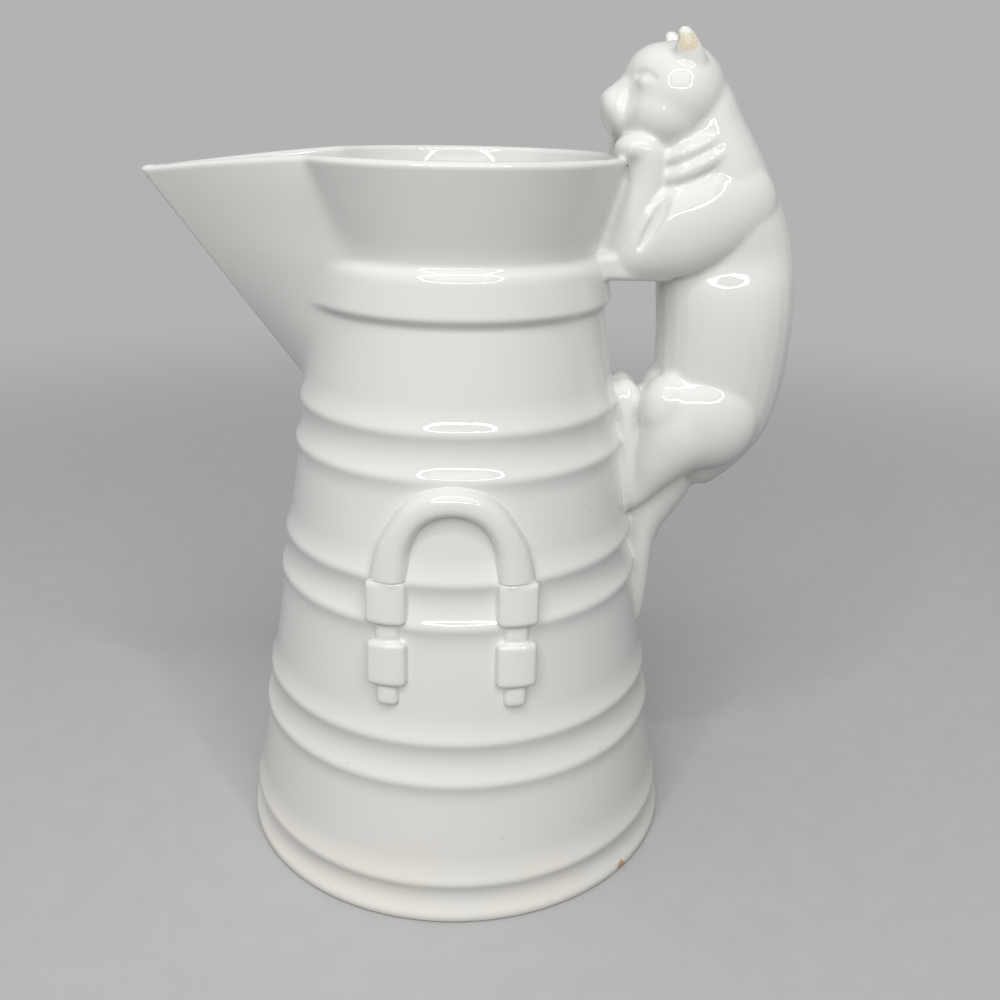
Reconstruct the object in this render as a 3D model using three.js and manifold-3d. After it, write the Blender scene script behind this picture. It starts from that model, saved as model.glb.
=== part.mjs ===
// Cat pitcher: a white porcelain jug in the shape of a hooped milk can, with a climbing cat for its handle.
// Millimetres, +Z up. The origin is the middle of the flat underside, the spout points to -X and the cat
// climbs the +X side. Left is -Y, the left side of both the jug and the cat.
import * as THREE from 'three';
import { mergeVertices } from 'three/addons/utils/BufferGeometryUtils.js';
import Module from 'manifold-3d';

const wasm = await Module();
wasm.setup();

// Joints
const SLIP_JOINT = 0.3; // clay slip between two pieces that are stuck together

// Barrel
const WALL_FOOT_RADIUS = 71.2; // outside of the plain wall, carried down to the table
const WALL_TOP_RADIUS = 44.3; // outside of the plain wall at its top
const BARREL_HEIGHT = 176.5;
const WALL_THICKNESS = 5;
const FLOOR_THICKNESS = 7;

// Hoops: each is a pair of rounded beads with a crease under each bead
const HOOP_HEIGHTS = [150.8, 107, 59.3]; // upper crest of each hoop
const FOOT_HOOP_HEIGHT = 14.6; // upper crest of the foot hoop, whose lower bead ends on the table
const FOOT_BEAD_HEIGHT = 2.2;
const BEAD_SPACING = 13.3; // from the upper crest of a hoop to the lower one
const BEAD_RISE = 1.3;
const BEAD_FLARE = 6.5; // height of the slope above a crest
const BEAD_CROWN = 2.4; // height of the round crest
const CREASE_DEPTH = 0.35;
const CREASE_DROP = 6.4; // from a crest down to the crease under it

// Neck band and collar
const BAND_RADIUS = 45.4;
const BAND_HEIGHT = 17.4;
const BAND_ROUND = 4.5; // height of the rounded top of the band
const COLLAR_FOOT_RADIUS = 42.6;
const RIM_RADIUS = 50;
const RIM_HEIGHT = 219.5;
const COLLAR_THICKNESS = 4;
const LIP_ROUND = 1.3;

// Spout
const SPOUT_REACH = 94.2; // from the jug's axis to the tip
const SPOUT_ROOT_HEIGHT = 150.7; // where the keel meets the barrel
const SPOUT_DROP = 5; // how far the tip lies below the rim
const SPOUT_SPREAD = THREE.MathUtils.degToRad(38); // from the tip round to where a side leaves the rim
const SPOUT_WALL = 4;
const KEEL_ROUND = 2.5;

// Moulded carry handles on the barrel, measured along the wall
const BAIL_SPRING_HEIGHT = 110.5; // middle of the arch
const BAIL_HALF_SPAN = 18.3; // from the middle of the handle to the middle of a leg
const BAIL_HALF_WIDTH = 5.4;
const BAIL_PROUD = 4.6;
const SLEEVE_TOP = 106;
const SLEEVE_HALF_WIDTH = 5.5;
const SLEEVE_LENGTH = 12.6;
const SLEEVE_PROUD = 4.8;
const LINK_HALF_WIDTH = 3.5;
const LINK_LENGTH = 5.2;
const LINK_PROUD = 3.2;
const BLOCK_HALF_WIDTH = 5.5;
const BLOCK_LENGTH = 13;
const BLOCK_PROUD = 4.6;
const TAB_HALF_WIDTH = 3.2;
const TAB_LENGTH = 6.4;
const TAB_PROUD = 3;
const SPRIG_EDGE = 1.1; // rounding of the edges of the pressed pieces

// Cat: the forequarters are placed from the rim and the hindquarters from the wall at the hind feet.
// A station gives the middle line (out, up and side) with the half depth and the half width there.
const HIND_FEET_HEIGHT = 135;
const CAT_SCALE = (RIM_HEIGHT - HIND_FEET_HEIGHT) / 84.5; // the stations are drawn for a climb of 84.5
const TORSO_FRONT = [
  { out: 14, up: 18, deep: 11, wide: 13 },
  { out: 18.5, up: 9, deep: 12.8, wide: 15.8 },
  { out: 23, up: -1.5, deep: 14, wide: 17 },
  { out: 27.5, up: -17.5, deep: 18.4, wide: 18.2 },
  { out: 30.2, up: -32, deep: 20.8, wide: 18.5 },
];
const TORSO_REAR = [
  { out: 31.1, up: 33, deep: 20.8, wide: 18.5 },
  { out: 30.9, up: 18, deep: 20, wide: 18.5 },
  { out: 29.4, up: 5, deep: 18.8, wide: 18 },
  { out: 27.4, up: -7, deep: 14.5, wide: 15 },
  { out: 25.9, up: -17.5, deep: 9, wide: 10 },
];
const CHEST_WEB = { out: 1, up: -20, long: 28, wide: 12, tall: 28.5 }; // clay between the forelegs
const SKULL = { out: 11.5, up: 16.8, long: 15, wide: 18.5, tall: 14.6 };
const MUZZLE = { out: 1.2, up: 11.6, long: 11, wide: 10.5, tall: 8 };
const JAW = { out: 9.5, up: 10.5, long: 12, wide: 15.5, tall: 9.5 };
const EAR = [
  { out: 13.2, up: 23, side: 10.5, deep: 5, wide: 4.4 },
  { out: 12.9, up: 27.5, side: 11.5, deep: 4.3, wide: 3.2 },
  { out: 12.2, up: 30.9, side: 12.1, deep: 3.6, wide: 2.5 },
  { out: 11.2, up: 34.5, side: 12.5, deep: 2.4, wide: 1.6 },
];
const SHOULDER = [
  { out: -8, up: -31.5, side: 11, deep: 4.5, wide: 6.2 },
  { out: 2, up: -30, side: 13, deep: 6.3, wide: 6.8 },
  { out: 14, up: -23.5, side: 14.5, deep: 9.5, wide: 7 },
  { out: 26, up: -15.5, side: 15, deep: 11.5, wide: 6.6 },
  { out: 37, up: -10.5, side: 13, deep: 8, wide: 5.5 },
  { out: 41.5, up: -9, side: 12.5, deep: 4, wide: 3 },
];
const FORELEG = [
  { out: -3, up: -35, side: 12, deep: 4, wide: 4.5 },
  { out: -1.5, up: -28.5, side: 12, deep: 5.2, wide: 5.6 },
  { out: 0.3, up: -16.5, side: 11.5, deep: 4.8, wide: 5.2 },
  { out: 3.4, up: -5.5, side: 11, deep: 4.6, wide: 5.2 },
  { out: 3.6, up: 1.2, side: 10.5, deep: 4.6, wide: 5.6 },
  { out: -1.2, up: 2.9, side: 10, deep: 3.2, wide: 5.6 },
  { out: -6.2, up: 1.9, side: 9.5, deep: 2.4, wide: 4.4 },
];
const THIGH = [
  { out: 39, up: 11.2, side: 11, deep: 6, wide: 5 },
  { out: 30.2, up: 11.6, side: 13, deep: 12.3, wide: 8.2 },
  { out: 22.4, up: 9.5, side: 12.9, deep: 14.8, wide: 8.4 },
  { out: 16.8, up: 0.6, side: 10.8, deep: 10, wide: 7.8 },
  { out: 12.6, up: -9.2, side: 9.2, deep: 5.8, wide: 7 },
  { out: 8.6, up: -17.8, side: 7.8, deep: 3.2, wide: 5.4 },
  { out: 4.6, up: -25, side: 6.6, deep: 1.8, wide: 3.4 },
];
const HIND_FOOT = [
  { out: 0.2, up: 18.8, side: 4, deep: 3.2, wide: 3.4 },
  { out: 1.4, up: 12.5, side: 4.4, deep: 6.4, wide: 5 },
  { out: 2.6, up: 5, side: 4.6, deep: 6.4, wide: 5 },
  { out: 3.4, up: -4, side: 5, deep: 5.8, wide: 4.8 },
  { out: 4, up: -15, side: 5.4, deep: 4.4, wide: 4.6 },
  { out: 4.2, up: -25.5, side: 5.6, deep: 2.6, wide: 3.4 },
];
const TAIL = [
  { out: 23.4, up: -10, deep: 9, wide: 8.5 },
  { out: 14.4, up: -22, deep: 7.8, wide: 7.6 },
  { out: 10.4, up: -31, deep: 6.4, wide: 6.6 },
  { out: 9.4, up: -39.5, deep: 5.2, wide: 5.6 },
  { out: 9.6, up: -48.5, deep: 4.2, wide: 4.7 },
  { out: 10.4, up: -58, deep: 2.9, wide: 3.6 },
  { out: 11.3, up: -67.6, deep: 1.2, wide: 1.8 },
];

// Fineness of the facets
const JUG_SIDES = 48;
const LIMB_SIDES = 12;
const LIMB_RINGS = 8;
const MERGE_DISTANCE = 1e-4;
const END_BLUNTNESS = 6; // how square the ends of a limb are
const NOSE_FACETS = 4;
const BAIL_STEPS = 16;
const BAIL_FACETS = 3;

const LEFT = -1;
const RIGHT = 1;

const porcelain = new THREE.MeshStandardMaterial({ color: 0xe9eaea, roughness: 0.08, metalness: 0 });

// Solids: closed meshes that can be joined and cut

function solidOf(geometry) {
  const bare = geometry.index ? geometry.toNonIndexed() : geometry.clone();
  bare.deleteAttribute('normal');
  bare.deleteAttribute('uv');
  const merged = mergeVertices(bare, MERGE_DISTANCE);
  const index = merged.index.array;
  const corners = [];
  for (let first = 0; first < index.length; first += 3) {
    const [a, b, c] = index.slice(first, first + 3);
    if (a !== b && b !== c && c !== a) corners.push(a, b, c);
  }
  return new wasm.Manifold(new wasm.Mesh({
    numProp: 3,
    vertProperties: Float32Array.from(merged.attributes.position.array),
    triVerts: Uint32Array.from(corners),
  }));
}

function meshOf(name, solid) {
  const cut = solid.getMesh();
  const geometry = new THREE.BufferGeometry();
  geometry.setAttribute('position', new THREE.BufferAttribute(Float32Array.from(cut.vertProperties), 3));
  geometry.setIndex(new THREE.BufferAttribute(Uint32Array.from(cut.triVerts), 1));
  geometry.computeVertexNormals();
  const mesh = new THREE.Mesh(geometry, porcelain);
  mesh.name = name;
  return mesh;
}

// A solid turned round the jug's axis from radius and height pairs, up the outside and down the inside.
function turned(profile) {
  const points = profile.map(([radius, height]) => new THREE.Vector2(radius, height));
  points.push(points[0].clone());
  const geometry = new THREE.LatheGeometry(points, JUG_SIDES);
  geometry.rotateX(Math.PI / 2);
  return solidOf(geometry);
}

// Vessel

function wallRadius(height) {
  return THREE.MathUtils.mapLinear(height, 0, BARREL_HEIGHT, WALL_FOOT_RADIUS, WALL_TOP_RADIUS);
}

// Radius and height pairs of one bead, from the crease under it up to its crest.
function beadPoints(crest) {
  return [
    [wallRadius(crest - CREASE_DROP) - CREASE_DEPTH, crest - CREASE_DROP],
    [wallRadius(crest) + BEAD_RISE, crest - BEAD_CROWN / 2],
    [wallRadius(crest) + BEAD_RISE, crest + BEAD_CROWN / 2],
  ];
}

function barrelOutside() {
  const points = [
    [wallRadius(0), 0],
    [wallRadius(FOOT_BEAD_HEIGHT) + BEAD_RISE, FOOT_BEAD_HEIGHT],
    ...beadPoints(FOOT_HOOP_HEIGHT),
    [wallRadius(FOOT_HOOP_HEIGHT + BEAD_FLARE), FOOT_HOOP_HEIGHT + BEAD_FLARE],
  ];
  for (const crest of [...HOOP_HEIGHTS].sort((a, b) => a - b)) {
    points.push(...beadPoints(crest - BEAD_SPACING));
    points.push(...beadPoints(crest));
    points.push([wallRadius(crest + BEAD_FLARE), crest + BEAD_FLARE]);
  }
  points.push([WALL_TOP_RADIUS, BARREL_HEIGHT]);
  return points;
}

const bandFoot = BARREL_HEIGHT + SLIP_JOINT;
const bandTop = bandFoot + BAND_HEIGHT;
const collarFoot = bandTop + SLIP_JOINT;
const throatRadius = COLLAR_FOOT_RADIUS - COLLAR_THICKNESS;

function bandOutside() {
  const roundStep = (BAND_RADIUS - COLLAR_FOOT_RADIUS) * (1 - Math.SQRT1_2);
  return [
    [WALL_TOP_RADIUS, bandFoot],
    [BAND_RADIUS, bandFoot + (BAND_RADIUS - WALL_TOP_RADIUS)],
    [BAND_RADIUS, bandTop - BAND_ROUND],
    [BAND_RADIUS - roundStep, bandTop - BAND_ROUND * (1 - Math.SQRT1_2)],
    [COLLAR_FOOT_RADIUS, bandTop],
  ];
}

function collarOutside() {
  return [
    [COLLAR_FOOT_RADIUS, collarFoot],
    [RIM_RADIUS, RIM_HEIGHT - LIP_ROUND],
    [RIM_RADIUS - LIP_ROUND, RIM_HEIGHT],
  ];
}

function floorRadius(height) {
  return wallRadius(height) - WALL_THICKNESS;
}

// The whole outside of the jug as one filled shape, used to seat what is stuck on it.
function jugEnvelope(clearance) {
  const outside = [...barrelOutside(), ...bandOutside(), ...collarOutside()];
  const grown = outside.map(([radius, height]) => [radius + clearance, height]);
  const top = RIM_HEIGHT + clearance;
  grown.push([RIM_RADIUS - LIP_ROUND + clearance, top], [0, top], [0, 0]);
  return turned(grown);
}

// The spout is a V in plan that leans out with height, so its keel is a straight line from root to tip.
const rootRadius = wallRadius(SPOUT_ROOT_HEIGHT);
const tipHeight = RIM_HEIGHT - SPOUT_DROP;
const keelLean = (SPOUT_REACH - rootRadius) / (tipHeight - SPOUT_ROOT_HEIGHT);
const rimReach = SPOUT_REACH + keelLean * SPOUT_DROP;
const leaveX = RIM_RADIUS * Math.cos(SPOUT_SPREAD);
const leaveY = RIM_RADIUS * Math.sin(SPOUT_SPREAD);
const noseToSide = new THREE.Vector2(rimReach - KEEL_ROUND - leaveX, leaveY);
const vHalfAngle = noseToSide.angle() - Math.asin(KEEL_ROUND / noseToSide.length());

// Everything on the cat's side of the jug's axis, where the spout has no part.
function catSide() {
  const geometry = new THREE.BoxGeometry(2 * SPOUT_REACH, 4 * SPOUT_REACH, 4 * RIM_HEIGHT);
  geometry.translate(SPOUT_REACH, 0, 0);
  return solidOf(geometry);
}

// A filled V that leans out along the keel, set in from the outside of the spout by a wall thickness.
function leaningV(setIn, noseRound) {
  const slant = Math.sin(vHalfAngle);
  const apex = KEEL_ROUND + (setIn - KEEL_ROUND) / slant;
  const back = rimReach - leaveX + 2 * COLLAR_THICKNESS;
  const halfWidth = (back - apex) * Math.tan(vHalfAngle);
  const shape = new THREE.Shape();
  shape.moveTo(back, -halfWidth);
  shape.lineTo(back, halfWidth);
  shape.absarc(apex + noseRound / slant, 0, noseRound, Math.PI / 2 + vHalfAngle, 1.5 * Math.PI - vHalfAngle);
  shape.closePath();
  const below = 3 * WALL_THICKNESS;
  const depth = below + RIM_HEIGHT + LIP_ROUND - SPOUT_ROOT_HEIGHT;
  const geometry = new THREE.ExtrudeGeometry(shape, {
    depth, bevelEnabled: false, curveSegments: NOSE_FACETS,
  });
  geometry.translate(0, 0, -below);
  geometry.applyMatrix4(new THREE.Matrix4().makeShear(0, 0, 0, 0, -keelLean, 0));
  geometry.translate(-rootRadius, 0, SPOUT_ROOT_HEIGHT);
  return solidOf(geometry).subtract(catSide());
}

// Everything above the top edge of the spout, which falls from the rim to the tip.
function aboveSpout() {
  const shape = new THREE.Shape();
  shape.moveTo(0, RIM_HEIGHT);
  shape.lineTo(-leaveX, RIM_HEIGHT);
  shape.lineTo(-SPOUT_REACH, tipHeight);
  shape.lineTo(-2 * SPOUT_REACH, tipHeight);
  shape.lineTo(-2 * SPOUT_REACH, 2 * RIM_HEIGHT);
  shape.lineTo(0, 2 * RIM_HEIGHT);
  shape.closePath();
  const geometry = new THREE.ExtrudeGeometry(shape, { depth: 4 * RIM_RADIUS, bevelEnabled: false });
  geometry.translate(0, 0, -2 * RIM_RADIUS);
  geometry.rotateX(Math.PI / 2);
  return solidOf(geometry);
}

const pouringThroat = leaningV(SPOUT_WALL, KEEL_ROUND / 2);
const jugSeat = jugEnvelope(SLIP_JOINT);

function makeBaseDisc() {
  return turned([
    [floorRadius(0) - SLIP_JOINT, 0],
    [floorRadius(FLOOR_THICKNESS) - SLIP_JOINT, FLOOR_THICKNESS],
    [0, FLOOR_THICKNESS],
    [0, 0],
  ]);
}

function makeBarrelWall() {
  const inside = [[floorRadius(BARREL_HEIGHT), BARREL_HEIGHT], [floorRadius(0), 0]];
  return turned([...barrelOutside(), ...inside]).subtract(pouringThroat);
}

function makeNeckBand() {
  const inside = [[throatRadius, bandTop], [floorRadius(BARREL_HEIGHT), bandFoot]];
  return turned([...bandOutside(), ...inside]).subtract(pouringThroat);
}

function makeCollar() {
  const lipInside = RIM_RADIUS - COLLAR_THICKNESS;
  const inside = [
    [lipInside + LIP_ROUND, RIM_HEIGHT],
    [lipInside, RIM_HEIGHT - LIP_ROUND],
    [throatRadius, collarFoot],
  ];
  return turned([...collarOutside(), ...inside]).subtract(pouringThroat);
}

function makeSpout() {
  const shell = leaningV(0, KEEL_ROUND).subtract(pouringThroat);
  return shell.subtract(jugSeat).subtract(aboveSpout());
}

// Moulded carry handles

// Lays a flat piece (along the wall, up, proud of it) on one side of the barrel and seats it on the beads.
function laidOnWall(geometry, side) {
  const points = geometry.attributes.position;
  for (let i = 0; i < points.count; i += 1) {
    const height = points.getY(i);
    const angle = points.getX(i) / wallRadius(height);
    const radius = wallRadius(height) + points.getZ(i);
    points.setXYZ(i, -side * radius * Math.sin(angle), side * radius * Math.cos(angle), height);
  }
  return solidOf(geometry).subtract(jugSeat);
}

// The half-round grip: two short legs joined by half a circle.
function makeBailArch(side) {
  const legFoot = SLEEVE_TOP + SLIP_JOINT;
  const route = new THREE.CurvePath();
  const middle = (angle) => new THREE.Vector3(
    BAIL_HALF_SPAN * Math.cos(angle), BAIL_SPRING_HEIGHT + BAIL_HALF_SPAN * Math.sin(angle), 0,
  );
  const ring = [];
  for (let step = 0; step <= BAIL_STEPS; step += 1) ring.push(middle((Math.PI * step) / BAIL_STEPS));
  route.add(new THREE.LineCurve3(new THREE.Vector3(BAIL_HALF_SPAN, legFoot, 0), ring[0]));
  route.add(new THREE.CatmullRomCurve3(ring));
  route.add(new THREE.LineCurve3(ring[BAIL_STEPS], new THREE.Vector3(-BAIL_HALF_SPAN, legFoot, 0)));
  const section = new THREE.Shape();
  section.absellipse(0, 0, BAIL_PROUD, BAIL_HALF_WIDTH, 0, 2 * Math.PI);
  const geometry = new THREE.ExtrudeGeometry(section, {
    steps: BAIL_STEPS + 4, extrudePath: route, curveSegments: BAIL_FACETS,
  });
  return laidOnWall(geometry, side);
}

// A pressed block on a leg of the handle, with its top, length, half width and stand from the wall.
function makeBailBlock(side, along, top, length, halfWidth, proud) {
  const shape = new THREE.Shape();
  shape.moveTo(along - halfWidth, top - length);
  shape.lineTo(along + halfWidth, top - length);
  shape.lineTo(along + halfWidth, top);
  shape.lineTo(along - halfWidth, top);
  shape.closePath();
  const geometry = new THREE.ExtrudeGeometry(shape, {
    depth: 2 * proud - 2 * SPRIG_EDGE,
    bevelThickness: SPRIG_EDGE,
    bevelSize: SPRIG_EDGE,
    bevelOffset: -SPRIG_EDGE,
    bevelSegments: 2,
  });
  geometry.translate(0, 0, SPRIG_EDGE - proud);
  return laidOnWall(geometry, side);
}

// The pieces of one leg from the grip downwards, each starting a slip joint under the one above.
function makeBailLeg(side, along) {
  const linkTop = SLEEVE_TOP - SLEEVE_LENGTH - SLIP_JOINT;
  const blockTop = linkTop - LINK_LENGTH - SLIP_JOINT;
  const tabTop = blockTop - BLOCK_LENGTH - SLIP_JOINT;
  return {
    sleeve: makeBailBlock(side, along, SLEEVE_TOP, SLEEVE_LENGTH, SLEEVE_HALF_WIDTH, SLEEVE_PROUD),
    link: makeBailBlock(side, along, linkTop, LINK_LENGTH, LINK_HALF_WIDTH, LINK_PROUD),
    block: makeBailBlock(side, along, blockTop, BLOCK_LENGTH, BLOCK_HALF_WIDTH, BLOCK_PROUD),
    tab: makeBailBlock(side, along, tabTop, TAB_LENGTH, TAB_HALF_WIDTH, TAB_PROUD),
  };
}

// Cat

const rimAnchor = { out: RIM_RADIUS, up: RIM_HEIGHT };
const wallAnchor = { out: wallRadius(HIND_FEET_HEIGHT), up: HIND_FEET_HEIGHT };

function placed(stations, anchor, side = 0) {
  return stations.map((station) => ({
    middle: new THREE.Vector3(station.out, side * (station.side ?? 0), station.up)
      .multiplyScalar(CAT_SCALE)
      .add(new THREE.Vector3(anchor.out, 0, anchor.up)),
    deep: station.deep * CAT_SCALE,
    wide: station.wide * CAT_SCALE,
  }));
}

// A rounded body: a ball drawn out along a smooth line through its stations.
function limb(stations, clearance = 0) {
  const line = new THREE.CatmullRomCurve3(stations.map((station) => station.middle));
  const size = new THREE.CatmullRomCurve3(
    stations.map((station) => new THREE.Vector3(station.deep, station.wide, 0)),
  );
  const geometry = new THREE.SphereGeometry(1, LIMB_SIDES, LIMB_RINGS + stations.length);
  const points = geometry.attributes.position;
  const ball = new THREE.Vector3();
  for (let i = 0; i < points.count; i += 1) {
    ball.fromBufferAttribute(points, i);
    const share = Math.acos(THREE.MathUtils.clamp(ball.y, -1, 1)) / Math.PI;
    const girth = Math.hypot(ball.x, ball.z) || 1;
    const closing = Math.sqrt(Math.max(0, 1 - Math.abs(1 - 2 * share) ** END_BLUNTNESS));
    const tangent = line.getTangent(share);
    const across = new THREE.Vector3(0, 1, 0).addScaledVector(tangent, -tangent.y).normalize();
    const depth = new THREE.Vector3().crossVectors(across, tangent);
    const half = size.getPoint(share);
    const place = line.getPoint(share);
    place.addScaledVector(depth, (ball.x / girth) * closing * (half.x + clearance));
    place.addScaledVector(across, (ball.z / girth) * closing * (half.y + clearance));
    place.addScaledVector(tangent, -ball.y * clearance);
    points.setXYZ(i, place.x, place.y, place.z);
  }
  return solidOf(geometry);
}

function lobe(size, clearance) {
  const geometry = new THREE.SphereGeometry(1, LIMB_SIDES + 4, LIMB_RINGS + 2);
  const half = new THREE.Vector3(size.long, size.wide, size.tall).multiplyScalar(CAT_SCALE);
  geometry.scale(half.x + clearance, half.y + clearance, half.z + clearance);
  geometry.translate(rimAnchor.out + size.out * CAT_SCALE, 0, rimAnchor.up + size.up * CAT_SCALE);
  return solidOf(geometry);
}

function chestWeb(clearance) {
  const size = new THREE.Vector3(CHEST_WEB.long, CHEST_WEB.wide, CHEST_WEB.tall)
    .multiplyScalar(CAT_SCALE)
    .addScalar(2 * clearance);
  const geometry = new THREE.BoxGeometry(size.x, size.y, size.z);
  geometry.translate(
    rimAnchor.out + CHEST_WEB.out * CAT_SCALE, 0, rimAnchor.up + CHEST_WEB.up * CAT_SCALE,
  );
  return solidOf(geometry);
}

function torso(clearance) {
  const body = limb([...placed(TORSO_FRONT, rimAnchor), ...placed(TORSO_REAR, wallAnchor)], clearance);
  return body.add(chestWeb(clearance));
}

// Everything on one side of the cat's middle plane, so that two pieces which meet there stay apart.
function ownSide(side) {
  const geometry = new THREE.BoxGeometry(4 * RIM_HEIGHT, 2 * RIM_HEIGHT, 4 * RIM_HEIGHT);
  geometry.translate(0, side * (RIM_HEIGHT + SLIP_JOINT / 2), 0);
  return solidOf(geometry);
}

function headForm(clearance) {
  return lobe(SKULL, clearance).add(lobe(JAW, clearance)).add(lobe(MUZZLE, clearance));
}

function makeCat() {
  const torsoSeat = torso(SLIP_JOINT);
  const headSeat = headForm(SLIP_JOINT);
  const pieces = {
    cat_torso: torso(0).subtract(headSeat).subtract(jugSeat),
    cat_head: headForm(0),
  };
  let tail = limb(placed(TAIL, wallAnchor)).subtract(torsoSeat).subtract(jugSeat);
  for (const [name, side] of [['left', LEFT], ['right', RIGHT]]) {
    const shoulder = placed(SHOULDER, rimAnchor, side);
    const thigh = placed(THIGH, wallAnchor, side);
    const shoulderSeat = limb(shoulder, SLIP_JOINT);
    const thighSeat = limb(thigh, SLIP_JOINT);
    const hindFoot = placed(HIND_FOOT, wallAnchor, side);
    pieces[`cat_ear_${name}`] = limb(placed(EAR, rimAnchor, side)).subtract(headSeat);
    pieces[`cat_shoulder_${name}`] = limb(shoulder).subtract(torsoSeat).subtract(headSeat).subtract(jugSeat);
    pieces[`cat_foreleg_${name}`] = limb(placed(FORELEG, rimAnchor, side))
      .subtract(shoulderSeat).subtract(torsoSeat).subtract(headSeat).subtract(jugSeat);
    pieces[`cat_thigh_${name}`] = limb(thigh).subtract(torsoSeat).subtract(jugSeat);
    pieces[`cat_hind_foot_${name}`] = limb(hindFoot)
      .intersect(ownSide(side)).subtract(thighSeat).subtract(torsoSeat).subtract(jugSeat);
    tail = tail.subtract(thighSeat).subtract(limb(hindFoot, SLIP_JOINT));
  }
  pieces.cat_tail = tail;
  return pieces;
}

// Assembly

const pitcher = new THREE.Group();
const vessel = new THREE.Group();
const cat = new THREE.Group();
const carryHandles = new THREE.Group();
pitcher.add(vessel, cat, carryHandles);

vessel.add(meshOf('base_disc', makeBaseDisc()));
vessel.add(meshOf('barrel_wall', makeBarrelWall()));
vessel.add(meshOf('neck_band', makeNeckBand()));
vessel.add(meshOf('collar', makeCollar()));
vessel.add(meshOf('spout', makeSpout()));

for (const [name, solid] of Object.entries(makeCat())) cat.add(meshOf(name, solid));

for (const [sideName, side] of [['left', LEFT], ['right', RIGHT]]) {
  carryHandles.add(meshOf(`${sideName}_bail_arch`, makeBailArch(side)));
  for (const [endName, along] of [['front', side * BAIL_HALF_SPAN], ['rear', -side * BAIL_HALF_SPAN]]) {
    for (const [piece, solid] of Object.entries(makeBailLeg(side, along))) {
      carryHandles.add(meshOf(`${sideName}_bail_${piece}_${endName}`, solid));
    }
  }
}

export default pitcher;
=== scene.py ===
import math

import bpy
from mathutils import Matrix, Vector


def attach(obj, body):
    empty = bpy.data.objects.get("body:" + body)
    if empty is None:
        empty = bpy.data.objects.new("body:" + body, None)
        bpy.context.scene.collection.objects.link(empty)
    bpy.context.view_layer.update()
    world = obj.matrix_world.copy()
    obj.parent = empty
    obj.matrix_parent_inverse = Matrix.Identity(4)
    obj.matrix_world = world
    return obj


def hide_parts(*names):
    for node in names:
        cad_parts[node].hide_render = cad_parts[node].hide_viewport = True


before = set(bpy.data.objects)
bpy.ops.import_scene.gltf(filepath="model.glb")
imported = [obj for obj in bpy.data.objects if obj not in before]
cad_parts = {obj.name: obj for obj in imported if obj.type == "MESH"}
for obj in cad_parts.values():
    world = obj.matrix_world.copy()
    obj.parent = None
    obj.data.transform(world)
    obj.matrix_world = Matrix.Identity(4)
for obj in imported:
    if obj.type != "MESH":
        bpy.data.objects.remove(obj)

bl_info = {
    "name": "Cat Pitcher",
    "version": (1, 0, 0),
    "blender": (4, 5, 0),
    "location": "View3D > Sidebar > Pitcher",
    "description": "Models a white porcelain pitcher with a climbing cat for its handle",
    "category": "Object",
}

MM = 0.001
SIDES = {"left": -1, "right": 1}
FAR = 200  # millimetres, past every side of the pitcher
ABOVE = 300  # millimetres, past its top
JUG_COLUMNS = 300
SEAT_COLUMNS = 120
SPOUT_CROWDING = 0.82  # how strongly the columns of the jug crowd towards the spout
SIDE_OPENING = 0.85  # how fast the sides of the spout open out above its root
# How far the sides of the spout even out the wall that they leave, in millimetres.
SIDE_EVENNESS = 16
# Steps up the outside of the jug and down its inside, in millimetres.
HOOP_STEP = 0.7
SPOUT_STEP = 1.6
PLAIN_STEP = 2.5
INSIDE_STEP = 1.5
DEEP_STEP = 6
# Where the legs of the grip begin to splay: a height above the arch's middle, as a share of its radius.
SPLAY_START = 0.52
# The part of the jug that a carry handle is melded with: two corners in millimetres.
BAIL_BOX = ((-34, 30, 58), (34, 80, 146))
# Blocks that part the pieces of one side: how far out they reach, and for a leg where they start and how
# far they reach to the front or the rear, in millimetres.
SIDE_REACH = 90
LEG_NEAR = 30
LEG_REACH = 40
# The part of the jug that the cat is melded with: two corners in millimetres.
CAT_BOX = ((18, -36, 60), (80, 36, 230))
# How deep the skin of the jug lies under the forms that are melded with it, in millimetres.
BAIL_CORE_DEPTH = 0.3
CAT_CORE_DEPTH = 0.35
# How far outside a form of the cat its parting line runs, in millimetres.
PARTING = 1.0
# How forms are melded: the voxel size in millimetres and the rounds of softening.
BAIL_MELD = (0.45, 7)
THIGH_MELD = (0.8, 24)
HEAD_MELD = (0.8, 8)
BODY_MELD = (0.7, 0)
SKIN_MELD = (0.65, 6)
PARTING_MELD = (0.8, 0)

# Forms of the cat in millimetres. Each is a line of stations: out from the jug's axis, to the side, up,
# half depth and half width. The side is the distance from the middle, so that one form serves both sides.
TORSO = [
    (59.5, 0, 246, 9, 11),
    (65, 0, 236, 13.4, 14.6),
    (70, 0, 226, 12.9, 15.6),
    (74.5, 0, 214, 15.4, 17.2),
    (78, 0, 200, 18.9, 17),
    (80, 0, 190.5, 20.4, 16.6),
    (80.9, 0, 182, 20.9, 18.8),
    (81.7, 0, 171, 20.8, 19.5),
    (81.5, 0, 155, 20.2, 18.6),
    (80, 0, 141, 18.8, 17.5),
    (78, 0, 128.5, 14.5, 15),
    (76.5, 0, 117.5, 9, 10),
]
SHOULDER = [
    (43, 9, 190.5, 5.5, 5),
    (51, 12.2, 192.5, 8.2, 6.6),
    (60, 14.2, 197.6, 12.4, 7.2),
    (69, 14, 202.4, 13.4, 7.2),
    (78, 11.8, 206.4, 12.8, 7),
    (86, 7.5, 209.6, 11, 6.6),
    (90, 2, 211.5, 5, 3),
]
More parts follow.
